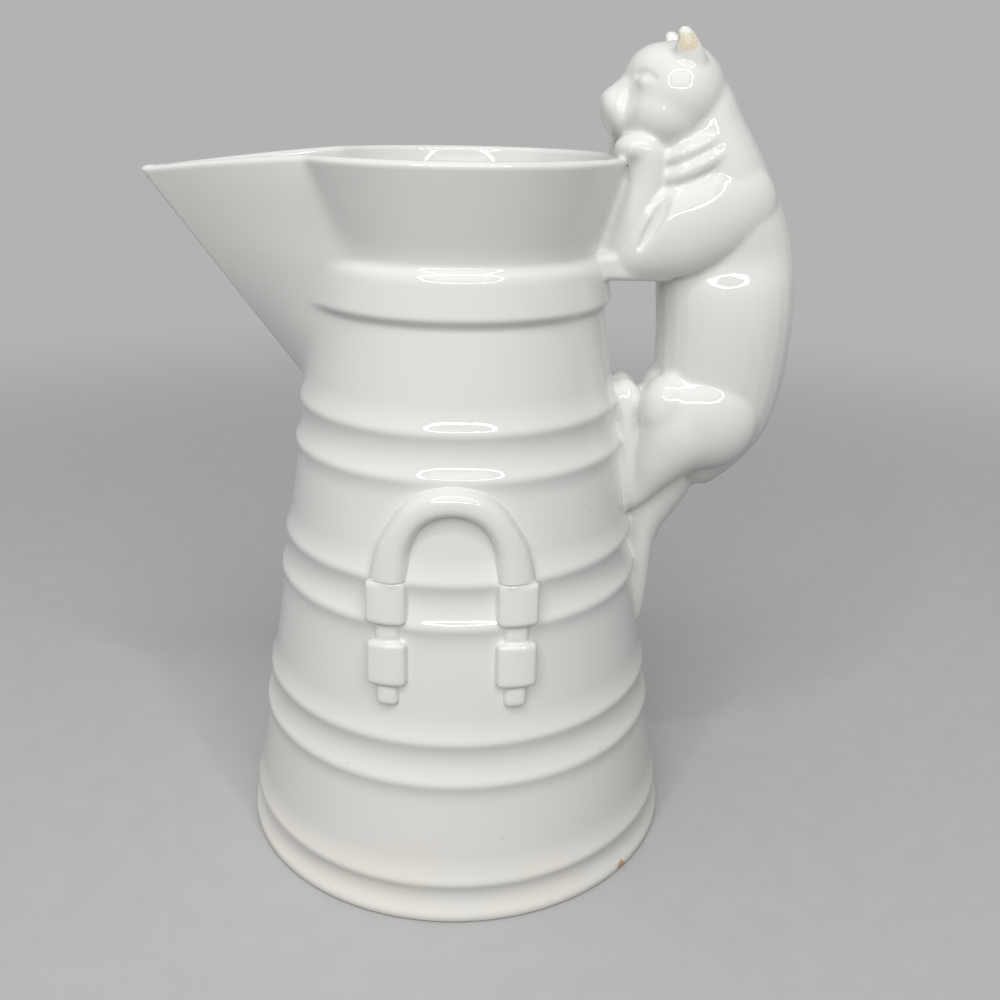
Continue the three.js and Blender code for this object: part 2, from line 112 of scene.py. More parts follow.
FORELEG = [
    (46, 9.4, 188.5, 4.5, 4.6),
    (47.8, 11, 194, 5.4, 5.6),
    (50.8, 12, 203, 5.4, 5.8),
    (53.4, 11.5, 212.5, 5.6, 6),
    (53.2, 10.8, 220, 5.6, 6.6),
    (48.6, 10.2, 222, 4.4, 6.8),
    (44, 9.6, 221.2, 3.2, 5.6),
]
THIGH = [
    (76, 11.6, 149.6, 11, 8.4),
    (70, 11.2, 139, 13.6, 10),
    (64.2, 9.8, 129, 9, 8.8),
    (60, 8.2, 120, 4.8, 6.4),
    (55.4, 6.8, 111, 2.2, 3.8),
]
SNOUT = [
    (40.4, 0, 230.9, 4.2, 5.4),
    (43, 0, 231.4, 6.7, 8.2),
    (47, 0, 231.2, 7.8, 9.8),
    (55, 0, 232.6, 8, 11.4),
]
EYELID = [
    (48.4, 7.8, 240.6, 1.2, 1.2),
    (49.8, 10.4, 242, 1.7, 1.7),
    (52, 13, 241.4, 1.5, 1.5),
    (54.4, 14.8, 239.6, 0.9, 0.9),
]
MUZZLE_CREASE = [
    (50, 9.6, 240.2, 0.9, 0.9),
    (47.2, 7.8, 236.6, 1.3, 1.3),
    (46, 9.8, 232.6, 1.3, 1.3),
    (45.6, 9.6, 228.8, 0.8, 0.8),
]
ARM_CREASE = [
    (58.8, 17.6, 220, 1, 1),
    (59, 18.8, 215.4, 1.6, 1.6),
    (58.4, 19.6, 210.4, 2, 2),
    (56.7, 19.9, 205.2, 2.1, 2.1),
    (54.2, 19.6, 199.8, 1.8, 1.8),
    (51.4, 18.8, 194.2, 1, 1),
]
HIND_FOOT = [
    (50.8, 4, 153.8, 3.2, 3.4),
    (52, 4.4, 147.5, 5.6, 5),
    (53.2, 4.6, 140, 5.2, 5),
    (54, 5, 131, 4.6, 4.8),
    (54.6, 5.4, 120, 4, 4.6),
    (54.8, 5.6, 109.5, 2.6, 3.4),
]
LEG_WEB = [
    (56, 0, 150, 5, 4),
    (58.5, 0, 141, 8, 6.5),
    (59, 0, 128, 7, 6.5),
    (57, 0, 114, 4, 4),
]
TAIL = [
    (74, 0, 125, 9, 8.5),
    (65, 0, 113, 7.8, 7.6),
    (61, 0, 104, 6.4, 6.6),
    (60, 0, 95.5, 5.2, 5.6),
    (60.2, 0, 86.5, 4.2, 4.7),
    (61, 0, 77, 2.9, 3.6),
    (61.9, 0, 67.4, 1.2, 1.8),
]
EAR = [
    (64.6, 10.5, 242, 5, 4),
    (63.1, 11.5, 246.4, 4.3, 3),
    (61.8, 12.1, 250, 3.3, 2.3),
    (60.4, 12.5, 253.9, 1.8, 1.3),
]
NECK_FOLDS = [
    [
        (57.5, 11.5, 218.4, 2, 3),
        (62.5, 14.4, 220.6, 2.6, 3.4),
        (68.5, 14, 223.4, 2.5, 3),
        (73.5, 12, 225.8, 1.8, 2.2),
        (77, 9, 227.4, 1, 1.2),
    ],
    [
        (57.5, 12, 212.8, 2.2, 3),
        (62.5, 15, 215.3, 2.9, 3.6),
        (70, 14.7, 219, 2.8, 3.2),
        (76.5, 12.4, 222.4, 2.1, 2.4),
        (81, 9, 224.6, 1.2, 1.4),
    ],
]
# Lobes of the cat: the middle, then the half length, width and height.
SKULL = ((61.5, 0, 235.6), (15, 17.6, 15.3))
FOREHEAD = ((57.5, 0, 240.6), (10.8, 13, 9.8))
BRIDGE = ((49.4, 0, 236.6), (6.6, 7.6, 4.8))
NOSE = ((43.4, 0, 234.2), (3.5, 5, 3.4))
MUZZLE = ((56, 0, 231), (11.4, 14, 9.4))
BELLY = ((66, 0, 148.5), (8.6, 12, 9.8))
HAUNCH = ((77, 11.4, 142.8), (16, 10, 16))
KNEE = ((64.6, 11.2, 146), (9, 8.4, 11.2))
CHEEK = ((58.5, 7.2, 230.6), (11, 10.2, 9.6))
EYE = ((52.2, 9.8, 239), (2.8, 2.8, 2.2))
EAR_HOLLOW = ((57.6, 12, 250.4), (2.2, 1.8, 2.6))
# Clay that fills the chest and lies under the elbows: two corners and the rounding of the edges.
WEBS = [
    ((36, -13, 185.2), (64, 13, 216), 5),
    ((36, -16.5, 185.2), (63, 16.5, 193), 2),
]
# The crease under the cheeks, where the head is parted: a point on it, out and up, and its slope.
HEAD_CREASE = (57.6, 222.4, math.radians(29))
# The lamp: a panel inside a ring, above and in front of the pitcher, in metres. The panel's power is in
# watts, and the ring's strength is the brightness of its narrow lights.
LAMP_PLACE = (0.05, -0.95, 1.05)
LAMP_TARGET = (0, 0, 0.15)
PANEL_SIZE = (0.9, 0.7)
PANEL_POWER = 2.5
RING_HALF = (0.64, 0.5)
RING_WIDTH = 0.05
RING_STRENGTH = 24.5
RING_LIGHTS = 18
RING_OVERLAP = 1.04
RING_SQUARENESS = 3
# The camera: its place in metres, how far it turns right, tilts down and rolls in degrees, and its lens
# in millimetres.
CAMERA_PLACE = (0.0113, -0.3243, 0.2341)
CAMERA_TURN = (0.39, 20.87, 1.10)
CAMERA_LENS = 37.8


def length(name, description, millimetres):
    return bpy.props.FloatProperty(
        name=name,
        description=description,
        default=millimetres * MM,
        precision=4,
        unit="LENGTH",
        subtype="DISTANCE",
    )


def angle(name, description, degrees):
    return bpy.props.FloatProperty(
        name=name, description=description, default=math.radians(degrees), unit="ROTATION", subtype="ANGLE"
    )


def three_lengths(name, description, millimetres, subtype="XYZ"):
    return bpy.props.FloatVectorProperty(
        name=name,
        description=description,
        default=[size * MM for size in millimetres],
        size=3,
        precision=4,
        unit="LENGTH",
        subtype=subtype,
    )


def place_at(name, description, millimetres):
    return three_lengths(name, description, millimetres, "TRANSLATION")


def share_of(name, description, share):
    return bpy.props.FloatProperty(name=name, description=description, default=share, subtype="FACTOR")


def colour(name, description, rgb):
    return bpy.props.FloatVectorProperty(
        name=name, description=description, default=rgb, size=3, min=0, max=1, subtype="COLOR"
    )


class PitcherVessel(bpy.types.PropertyGroup):
    """Sizes of the thrown jug and its spout"""

    foot_radius: length("Foot radius", "Outside of the plain wall at the table", 71.2)
    wall_top_radius: length("Wall top radius", "Outside of the plain wall under the neck band", 44.3)
    barrel_height: length("Barrel height", "Top of the barrel", 176.5)
    wall_thickness: length("Wall thickness", "Thickness of the barrel wall", 5)
    floor_thickness: length("Floor thickness", "Thickness of the floor", 7)
    floor_round: length("Floor round", "Rounding where the wall meets the floor inside", 6)
    foot_edge: length("Foot edge", "Rounding of the bottom edge", 1)
    upper_hoop: length("Upper hoop", "Height of the upper hoop's upper crest", 147.8)
    middle_hoop: length("Middle hoop", "Height of the middle hoop's upper crest", 105.5)
    lower_hoop: length("Lower hoop", "Height of the lower hoop's upper crest", 57.6)
    foot_hoop: length("Foot hoop", "Height of the foot hoop's upper crest", 12.6)
    bead_spacing: length("Bead spacing", "From the upper crest of a hoop to its lower crest", 12.8)
    foot_spacing: length("Foot spacing", "From the upper crest of the foot hoop to its lower crest", 10.4)
    bead_rise: length("Bead rise", "How far a crest stands out of the wall", 1.45)
    bead_hollow: length("Bead hollow", "Depth of the hollow between two crests", 1.7)
    bead_flare: length("Bead flare", "Height of the slope above a hoop", 8)
    bead_foot: length("Bead foot", "Height of the slope under a hoop", 6.5)
    glaze_round: length("Glaze round", "How far the glaze softens the edges", 1)
    band_foot_radius: length("Band foot radius", "Lower edge of the neck band", 46.6)
    band_top_radius: length("Band top radius", "Upper edge of the neck band", 44.2)
    band_height: length("Band height", "Height of the neck band", 15.2)
    band_step: length("Band step", "Height of the step under the neck band", 1.6)
    band_round: length("Band round", "Height of the rounded top of the neck band", 3.6)
    collar_foot_radius: length("Collar foot radius", "Outside of the collar at its foot", 41.9)
    collar_thickness: length("Collar thickness", "Thickness of the collar", 4)
    rim_radius: length("Rim radius", "Outside of the rim", 50)
    rim_height: length("Rim height", "Top of the rim", 219.5)
    lip_round: length("Lip round", "Height of the rounded lip", 1.6)
    spout_reach: length("Spout reach", "From the axis to the tip of the spout", 95.2)
    spout_root: length("Spout root", "Height where the keel leaves the barrel", 150.7)
    spout_drop: length("Spout drop", "How far the tip lies under the rim", 5)
    spout_wall: length("Spout wall", "Thickness of the spout", 4)
    spout_spread: angle("Spout spread", "From the tip round to where a side leaves the rim", 36.5)
    foot_spread: angle("Foot spread", "How much further round a side leaves the foot of the collar", 5.5)
    keel_round: length("Keel round", "Rounding of the keel", 2.5)
    crease_round: length("Crease round", "Softness of the crease between the spout and the collar", 1)
    root_round: length("Root round", "Softness of the joint between the spout and the barrel", 3)
    spout_joint: length("Spout joint", "How far outside the jug the spout is parted from it", 0.6)
    seat_depth: length("Seat depth", "How far the cat and the carry handles are let into the glaze", 0.2)


class PitcherBail(bpy.types.PropertyGroup):
    """Sizes of the carry handles that are moulded on the barrel"""

    spring_height: length("Spring height", "Middle of the arch", 113.8)
    arch_radius: length("Arch radius", "Radius of the middle of the grip at its top", 15.7)
    half_span: length("Half span", "From the middle of the handle to the middle of a leg", 18.6)
    grip_half_width: length("Grip half width", "Half the width of the grip at its top", 4.1)
    leg_half_width: length("Leg half width", "Half the width of the grip at its legs", 5.7)
    grip_proud: length("Grip proud", "How far the grip stands out of the wall", 4.6)
    sleeve_top: length("Sleeve top", "Height of the top of the sleeves", 106)
    sleeve: three_lengths("Sleeve", "Length, half width and stand of a sleeve", (12.6, 5.7, 4.5))
    link: three_lengths("Link", "Length, half width and stand of the link under a sleeve", (5.4, 3.5, 2.7))
    block: three_lengths("Block", "Length, half width and stand of the block under a link", (13, 5.7, 3.9))
    tab: three_lengths("Tab", "Length, half width and stand of the tab under a block", (6.4, 3.2, 2.5))
    pressed_edge: length("Pressed edge", "Rounding of the pressed edges", 1.3)
    pressed_bow: share_of("Pressed bow", "How much the pressed faces bow", 0.2)
    pressed_tilt: share_of("Pressed tilt", "How much lower the pressed faces are on the inner side", 0.18)
    score_width: length("Score width", "Width of the line between the grip and a sleeve", 0.6)
    score_depth: length("Score depth", "Depth of the line between the grip and a sleeve", 0.6)


class PitcherGlaze(bpy.types.PropertyGroup):
    """Colours and marks of the porcelain"""

    glaze: colour("Glaze", "Cool white of the glaze", (0.80, 0.806, 0.775))
    # Painted reflection: the warmer white towards the foot stands for warm light reflected up from below,
    # not for the glaze's own colour.
    painted_foot_reflection: colour("Warm glaze", "Warmer white near the foot", (0.82, 0.795, 0.735))
    thin: colour("Thin glaze", "Clouds where the glaze is thinner", (0.775, 0.785, 0.758))
    speck: colour("Speck", "Pinholes and pits in the glaze", (0.42, 0.40, 0.35))
    worn: colour("Worn", "Cream body showing at the worn ear", (0.79, 0.71, 0.53))
    scuff: colour("Scuff", "Brown stain on the edge of the foot", (0.52, 0.30, 0.16))
    bare_foot: colour("Bare foot", "Unglazed underside", (0.70, 0.66, 0.58))
    worn_place: place_at("Worn place", "Middle of the worn patch on the ear", (62.3, -14.5, 250))
    worn_reach: length("Worn reach", "Radius of the worn patch", 2.8)
    scuff_place: place_at("Scuff place", "Middle of the scuff on the foot", (55, -46.6, 1.4))
    scuff_reach: length("Scuff reach", "Radius of the scuff", 2.4)
    ripple: length("Ripple", "Height of the slow waves in the glaze", 0.12)
    peel: length("Peel", "Height of the fine grain in the glaze", 0.004)


class PitcherStage(bpy.types.PropertyGroup):
    """Colours and light of the stage"""

    floor: colour("Floor", "Floor as the camera sees it", (0.52, 0.52, 0.52))
    floor_bounce: colour("Floor bounce", "Floor as it lights the object", (0.12, 0.12, 0.12))
    backdrop: colour("Backdrop", "Backdrop as the camera sees it", (0.45, 0.45, 0.45))
    surround: colour("Surround", "Light of the room", (0.36, 0.36, 0.36))


# Work steps shared by the pieces


def take(*pieces):
    """Selects only these pieces and makes the first one active."""
    bpy.ops.object.select_all(action="DESELECT")
    for piece in pieces:
        piece.select_set(True)
    bpy.context.view_layer.objects.active = pieces[0]


def finish_with(piece, kind, **settings):
    """Adds a modifier with its settings and applies it."""
    take(piece)
    bpy.ops.object.modifier_add(type=kind)
    modifier = piece.modifiers[-1]
    for name, value in settings.items():
        setattr(modifier, name, value)
    bpy.ops.object.modifier_apply(modifier=modifier.name)
    return piece


def copy_of(piece):
    take(piece)
    bpy.ops.object.duplicate()
    return bpy.context.object


def drop(*pieces):
    take(*pieces)
    bpy.ops.object.delete()


def joined(pieces):
    take(*pieces)
    bpy.ops.object.join()
    return bpy.context.object


def edited(piece, work, **settings):
    """Works on the whole of a piece in edit mode."""
    take(piece)
    bpy.ops.object.mode_set(mode="EDIT")
    bpy.ops.mesh.select_all(action="SELECT")
    work(**settings)
    bpy.ops.object.mode_set(mode="OBJECT")
    return piece


def facing_out(piece):
    return edited(piece, bpy.ops.mesh.normals_make_consistent, inside=False)


def cut(piece, cutter, operation):
    return finish_with(piece, "BOOLEAN", object=cutter, operation=operation, solver="MANIFOLD")


def block(low, high):
    """A box between two corners in millimetres."""
    low, high = Vector(low) * MM, Vector(high) * MM
    bpy.ops.mesh.primitive_cube_add(size=1, location=(low + high) / 2, scale=high - low)
    bpy.ops.object.transform_apply(location=True, rotation=True, scale=True)
    return bpy.context.object


def beside(low, high, side):
    """The corners of a box, moved to one side of the middle."""
    near, far = sorted((side * low[1], side * high[1]))
    return (low[0], near, low[2]), (high[0], far, high[2])


def along(stations, share):
    """A station on the smooth line through the given ones."""
    last = len(stations) - 1
    first = min(int(share * last), last - 1)
    t = share * last - first
    near = [stations[min(max(first + step, 0), last)] for step in (-1, 0, 1, 2)]
    return [
        0.5 * (2 * b + (c - a) * t + (2 * a - 5 * b + 4 * c - d) * t**2 + (3 * b - a - 3 * c + d) * t**3)
        for a, b, c, d in zip(*near)
    ]


def rounded_square(turn_x, turn_y, squareness):
    """The point in a direction on a circle drawn towards a square."""
    reach = (abs(turn_x) ** squareness + abs(turn_y) ** squareness) ** (-1 / squareness)
    return turn_x * reach, turn_y * reach


def drawn_ball(stations, side=1, grow=0.0, bluntness=6, squareness=2):
    """A ball drawn out along a line of stations, on one side of the cat."""
    bpy.ops.mesh.primitive_uv_sphere_add(segments=28, ring_count=44, radius=1)
    ball = bpy.context.object
    line = [(out, side * aside, up, deep + grow, wide + grow) for out, aside, up, deep, wide in stations]
    for vertex in ball.data.vertices:
        share = math.acos(max(-1, min(1, vertex.co.z))) / math.pi
        girth = math.hypot(vertex.co.x, vertex.co.y)
        if girth < 1e-6:
            girth, vertex.co.x = 1, 1
        closing = math.sqrt(max(0, 1 - abs(1 - 2 * share) ** bluntness))
        out, aside, up, deep, wide = along(line, share)
        before, after = along(line, max(share - 0.01, 0)), along(line, min(share + 0.01, 1))
        tangent = (Vector(after[:3]) - Vector(before[:3])).normalized()
        across = (Vector((0, 1, 0)) - tangent * tangent.y).normalized()
        depth = across.cross(tangent)
        deep_share, wide_share = rounded_square(vertex.co.x / girth, vertex.co.y / girth, squareness)
        place = Vector((out, aside, up))
        place += depth * (deep_share * closing * deep)
        place += across * (wide_share * closing * wide)
        place -= tangent * (vertex.co.z * grow)
        vertex.co = place * MM
    return facing_out(ball)


def lobe(middle, half, side=1):
    """A ball squeezed to half sizes about a middle, in millimetres."""
    out, aside, up = middle
    bpy.ops.mesh.primitive_uv_sphere_add(
        segments=32, ring_count=24, radius=MM, location=Vector((out, side * aside, up)) * MM, scale=half
    )
    bpy.ops.object.transform_apply(location=True, rotation=True, scale=True)
    return bpy.context.object


def melded(pieces, voxel, rounds):
    """Joins overlapping pieces into one skin and softens it."""
    skin = joined(pieces)
    finish_with(skin, "REMESH", mode="VOXEL", voxel_size=voxel * MM)
    if rounds:
        finish_with(skin, "SMOOTH", factor=0.5, iterations=rounds)
    return skin


def shaded_like(piece, whole):
    """Gives a cut piece the shading of the whole form that it was cut from."""
    return finish_with(
        piece,
        "DATA_TRANSFER",
        object=whole,
        use_loop_data=True,
        data_types_loops={"CUSTOM_NORMAL"},
        loop_mapping="POLYINTERP_NEAREST",
    )


def set_aside(form, name):
    """Keeps a whole form under a name, with a second copy that pieces are parted from."""
    form.name = f"whole_{name}"
    rest = copy_of(form)
    rest.name = f"rest_{name}"


def parted(name, cutter):
    """Cuts one piece off what is left of a form."""
    rest = bpy.data.objects[f"rest_{name}"]
    piece = copy_of(rest)
    cut(piece, cutter, "INTERSECT")
    cut(rest, cutter, "DIFFERENCE")
    drop(cutter)
    return shaded_like(piece, bpy.data.objects[f"whole_{name}"])


def remainder(name):
    """What is left of a form after its other pieces are parted from it."""
    whole = bpy.data.objects[f"whole_{name}"]
    piece = shaded_like(bpy.data.objects[f"rest_{name}"], whole)
    drop(whole)
    return piece


def glazed(piece, node):
    """Names a finished piece, gives it the glaze and ties it to the solid that it stands for."""
    piece.name = f"{node}_glazed"
    piece.data.name = piece.name
    piece.data.materials.clear()
    piece.data.materials.append(bpy.data.materials["porcelain_glaze"])
    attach(piece, "root")
    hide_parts(node)
    return piece


class PitcherStep:
    """What the steps have in common"""

    bl_options = {"REGISTER", "UNDO"}


# Vessel


def wall_radius(s, height):
    return s.foot_radius + (s.wall_top_radius - s.foot_radius) * height / s.barrel_height


def hoops(s):
    """The upper crest of each hoop with the distance to its lower crest."""
    return [
        (s.upper_hoop, s.bead_spacing),
        (s.middle_hoop, s.bead_spacing),
        (s.lower_hoop, s.bead_spacing),
        (s.foot_hoop, s.foot_spacing),
    ]


def hoop_rise(s, height):
    """How far the hoops stand out of the plain wall at a height."""
    for crest, spacing in hoops(s):
        lower = crest - spacing
        if crest <= height < crest + s.bead_flare:
            return s.bead_rise * (1 - (height - crest) / s.bead_flare) ** 2
        if lower <= height < crest:
            share = (height - lower) / spacing
            return s.bead_rise - 4 * s.bead_hollow * share * (1 - share)
        if lower - s.bead_foot < height < lower:
            return s.bead_rise * (1 - (lower - height) / s.bead_foot) ** 2
    return 0


def sharp_outside(s, height):
    """Outside radius before the glaze softens it."""
    band_top = s.barrel_height + s.band_height
    if height < s.barrel_height:
        return wall_radius(s, height) + hoop_rise(s, height)
    if height < band_top:
        up = height - s.barrel_height
        face = s.band_foot_radius + (s.band_top_radius - s.band_foot_radius) * up / s.band_height
        if up < s.band_step:
            return s.wall_top_radius + (face - s.wall_top_radius) * up / s.band_step
        over = max(0, (height - band_top) / s.band_round + 1)
        return s.collar_foot_radius + (face - s.collar_foot_radius) * math.sqrt(1 - over**2)
    share = (height - band_top) / (s.rim_height - band_top)
    return s.collar_foot_radius + (s.rim_radius - s.collar_foot_radius) * share


def sharp_inside(s, height):
    """Inside radius before it is softened."""
    band_top = s.barrel_height + s.band_height
    throat = s.collar_foot_radius - s.collar_thickness
    wall_top = s.wall_top_radius - s.wall_thickness
    if height < s.barrel_height:
        return wall_radius(s, height) - s.wall_thickness
    if height < band_top:
        return wall_top + (throat - wall_top) * (height - s.barrel_height) / s.band_height
    share = (height - band_top) / (s.rim_height - band_top)
    return throat + (s.rim_radius - s.collar_foot_radius) * share


def softened(radius_at, s, height, reach):
    """The mean of a radius over the heights within a reach."""
    steps = [height + reach * step / 4 for step in range(-4, 5)]
    return sum(radius_at(s, min(max(step, 0), s.rim_height)) for step in steps) / len(steps)


def outside_radius(s, height):
    return softened(sharp_outside, s, height, s.glaze_round)


def inside_radius(s, height):
    return softened(sharp_inside, s, height, 4 * s.glaze_round)


def outside_heights(s):
    """Heights up the outside, close together where it curves."""
    busy = [(c - d - s.bead_foot, c + s.bead_flare) for c, d in hoops(s)]
    margin = 3 * MM
    busy.append((s.barrel_height - margin, s.barrel_height + s.band_height + margin))
    heights = []
    height = s.foot_edge
    while height < s.rim_height - s.lip_round:
        heights.append(height)
        if any(low <= height < high for low, high in busy):
            height += HOOP_STEP * MM
        elif height > s.upper_hoop:
            height += SPOUT_STEP * MM
        else:
            height += PLAIN_STEP * MM
    return heights


def vessel_profile(s):
    """Radius and height pairs from the middle of the underside, up the outside and back down the inside."""
    foot = outside_radius(s, s.foot_edge) - s.foot_edge
    points = [(foot * share, 0) for share in (0, 0.4, 0.8, 0.95)]
    for step in range(6):
        turn = math.radians(18 * step)
        points.append((foot + s.foot_edge * math.sin(turn), s.foot_edge * (1 - math.cos(turn))))
    points += [(outside_radius(s, height), height) for height in outside_heights(s)[1:]]
    lip = s.rim_height - s.lip_round
    half = (outside_radius(s, lip) - inside_radius(s, lip)) / 2
    for step in range(11):
        turn = math.radians(18 * step)
        radius = inside_radius(s, lip) + half * (1 + math.cos(turn))
        points.append((radius, lip + s.lip_round * math.sin(turn)))
    floor_edge = s.floor_thickness + s.floor_round
    height = lip - INSIDE_STEP * MM
    while height > floor_edge:
        points.append((inside_radius(s, height), height))
        height -= INSIDE_STEP * MM if height > s.upper_hoop else DEEP_STEP * MM
    corner = inside_radius(s, floor_edge)
    for step in range(7):
        turn = math.radians(15 * step)
        radius = corner - s.floor_round * (1 - math.cos(turn))
        points.append((radius, floor_edge - s.floor_round * math.sin(turn)))
    points += [(corner * share, s.floor_thickness) for share in (0.7, 0.4, 0)]
    return points


def smooth_max(a, b, width):
    overlap = max(width - abs(a - b), 0) / width
    return max(a, b) + overlap**2 * width / 4


def spout_lean(s):
    root = wall_radius(s, s.spout_root)
    return (s.spout_reach - root) / (s.rim_height - s.spout_drop - s.spout_root)


def without_band(s, height):
    """Outside radius of the wall and the collar, as if they had no band and no hoops."""
    if height < s.barrel_height + s.band_height:
        return wall_radius(s, height)
    return sharp_outside(s, height)


def spout_half_angle(s, height, reach, nose):
    """Half the angle of the V that the spout has in plan at a height."""
    collar_foot = s.barrel_height + s.band_height
    share = min(1, max(0, (height - s.spout_root) / (collar_foot - s.spout_root)))
    rise = min(1, max(0, (height - collar_foot) / (s.rim_height - collar_foot)))
    spread = s.spout_spread + s.foot_spread * (1 - rise)
    spread *= math.sin(share * math.pi / 2) ** SIDE_OPENING
    radius = softened(without_band, s, height, SIDE_EVENNESS * MM)
    out = reach - nose - radius * math.cos(spread)
    aside = radius * math.sin(spread)
    return math.atan2(aside, out) - math.asin(min(1, nose / math.hypot(out, aside)))


def spout_side(s, turn, height, set_in):
    """Distance from the axis to the spout's side at a height, in a direction from the tip round."""
    reach = wall_radius(s, s.spout_root) + spout_lean(s) * (height - s.spout_root)
    nose = s.keel_round
    if height < s.spout_root + nose:
        return 0
    half = spout_half_angle(s, height, reach, nose)
    side = (reach - nose) * math.sin(half) + nose
    if set_in:
        side -= set_in
        nose /= 2
    middle = (side - nose) / math.sin(half)
    if middle <= nose:
        return 0
    turn = abs(turn)
    if turn < math.atan2(nose * math.cos(half), middle + nose * math.sin(half)):
        return middle * math.cos(turn) + math.sqrt(nose**2 - (middle * math.sin(turn)) ** 2)
    return side / math.sin(min(half + turn, math.pi / 2))


def pull_spout(s, pot):
    """Crowds the columns of a turned pot towards the spout and draws the wall out into it."""
    rows = {}
    band_top = s.barrel_height + s.band_height
    for vertex in pot.data.vertices:
        height = vertex.co.z
        radius = math.hypot(vertex.co.x, vertex.co.y)
        turn = math.atan2(vertex.co.y, -vertex.co.x)
        turn -= SPOUT_CROWDING * math.sin(turn)
        if height > s.spout_root - 4 * s.root_round:
            key = round(height, 7)
            if key not in rows:
                rows[key] = (inside_radius(s, height), outside_radius(s, height))
            inside, outside = rows[key]
            share = (radius - inside) / (outside - inside)
            rim = spout_side(s, turn, s.rim_height, 0)
            fall = max(0, min(1, (rim - s.rim_radius) / (s.spout_reach - s.rim_radius)))
            lift = max(0, (height - band_top) / (s.rim_height - band_top))
            height -= s.spout_drop * fall * lift**2 * (3 - 2 * lift)
            depth = max(0, min(1, (s.rim_height - height) / (s.rim_height - s.spout_root)))
            soft = s.crease_round + (s.root_round - s.crease_round) * depth
            outside = smooth_max(outside, spout_side(s, turn, height, 0), soft)
            inside = smooth_max(inside, spout_side(s, turn, height, s.spout_wall), soft)
            radius = inside + (outside - inside) * share
        vertex.co = (-radius * math.cos(turn), radius * math.sin(turn), height)


def turned(points, columns):
    """A pot turned from a profile of radius and height pairs."""
    bpy.ops.object.select_all(action="DESELECT")
    bpy.ops.mesh.primitive_circle_add(vertices=len(points), radius=MM)
    pot = bpy.context.object
    for vertex, (radius, height) in zip(pot.data.vertices, points):
        vertex.co = (radius, 0, height)
    for part in (*pot.data.vertices, *pot.data.edges):
        part.select = False
    for edge in pot.data.edges:
        edge.select = set(edge.vertices) == {0, len(points) - 1}
    bpy.ops.object.mode_set(mode="EDIT")
    bpy.ops.mesh.select_mode(type="EDGE")
    bpy.ops.mesh.delete(type="EDGE")
    bpy.ops.mesh.select_mode(type="VERT")
    bpy.ops.object.mode_set(mode="OBJECT")
    return finish_with(
        pot,
        "SCREW",
        axis="Z",
        angle=2 * math.pi,
        steps=columns,
        render_steps=columns,
        use_merge_vertices=True,
        merge_threshold=0.001 * MM,
    )


def filled_jug(s, grow):
    """The whole outside of the jug as one filled form without the spout, grown by a distance."""
    profile = vessel_profile(s)
    top = max(range(len(profile)), key=lambda step: profile[step][1])
    form = turned(profile[: top + 1] + [(0, profile[top][1])], SEAT_COLUMNS)
    facing_out(form)
    return finish_with(form, "DISPLACE", strength=grow, mid_level=0)


def level_block(low, high):
    """A wide block between two heights in millimetres."""
    return block((-FAR, -FAR, low), (FAR, FAR, high))


class PITCHER_OT_jug(PitcherStep, bpy.types.Operator):
    """Turns the whole jug and draws out its spout"""

    bl_idname = "pitcher.jug"
    bl_label = "Whole jug"

    def execute(self, context):
        s = context.scene.pitcher_vessel
        pot = turned(vessel_profile(s), JUG_COLUMNS)
        pull_spout(s, pot)
        facing_out(pot)
        bpy.ops.object.shade_smooth()
        set_aside(pot, "jug")
        return {"FINISHED"}


class PITCHER_OT_spout(PitcherStep, bpy.types.Operator):
    """Parts the spout from the jug"""

    bl_idname = "pitcher.spout"
    bl_label = "Spout"

    def execute(self, context):
        s = context.scene.pitcher_vessel
        under_spout = 100
        ahead = block((-FAR, -FAR, under_spout), (0, FAR, ABOVE))
        body = filled_jug(s, s.spout_joint)
        cut(ahead, body, "DIFFERENCE")
        drop(body)
        glazed(parted("jug", ahead), "spout")
        return {"FINISHED"}


class PITCHER_OT_collar(PitcherStep, bpy.types.Operator):
    """Parts the flared collar from the jug"""

    bl_idname = "pitcher.collar"
    bl_label = "Collar"

    def execute(self, context):
        s = context.scene.pitcher_vessel
        foot = (s.barrel_height + s.band_height) / MM
        glazed(parted("jug", level_block(foot, ABOVE)), "collar")
        return {"FINISHED"}


class PITCHER_OT_neck_band(PitcherStep, bpy.types.Operator):
    """Parts the neck band from the jug"""

    bl_idname = "pitcher.neck_band"
    bl_label = "Neck band"

    def execute(self, context):
        s = context.scene.pitcher_vessel
        glazed(parted("jug", level_block(s.barrel_height / MM, ABOVE)), "neck_band")
        return {"FINISHED"}


class PITCHER_OT_base_disc(PitcherStep, bpy.types.Operator):
    """Parts the floor from the jug"""

    bl_idname = "pitcher.base_disc"
    bl_label = "Base disc"

    def execute(self, context):
        s = context.scene.pitcher_vessel
        radius = s.foot_radius - s.wall_thickness
        tall = 2 * (s.floor_thickness + s.floor_round)
        bpy.ops.mesh.primitive_cylinder_add(vertices=240, radius=radius, depth=tall)
        glazed(parted("jug", context.object), "base_disc")
        return {"FINISHED"}


class PITCHER_OT_barrel_wall(PitcherStep, bpy.types.Operator):
    """Finishes the hooped barrel"""

    bl_idname = "pitcher.barrel_wall"
    bl_label = "Barrel wall"

    def execute(self, context):
        glazed(remainder("jug"), "barrel_wall")
        return {"FINISHED"}


# Carry handles


def wall_copy(low, high, depth):
    """The part of the jug between two corners, with its skin set in by a depth in millimetres."""
    wall = copy_of(bpy.data.objects["whole_jug"])
    finish_with(wall, "DISPLACE", strength=-depth * MM, mid_level=0)
    box = block(low, high)
    cut(wall, box, "INTERSECT")
    drop(box)
    return wall


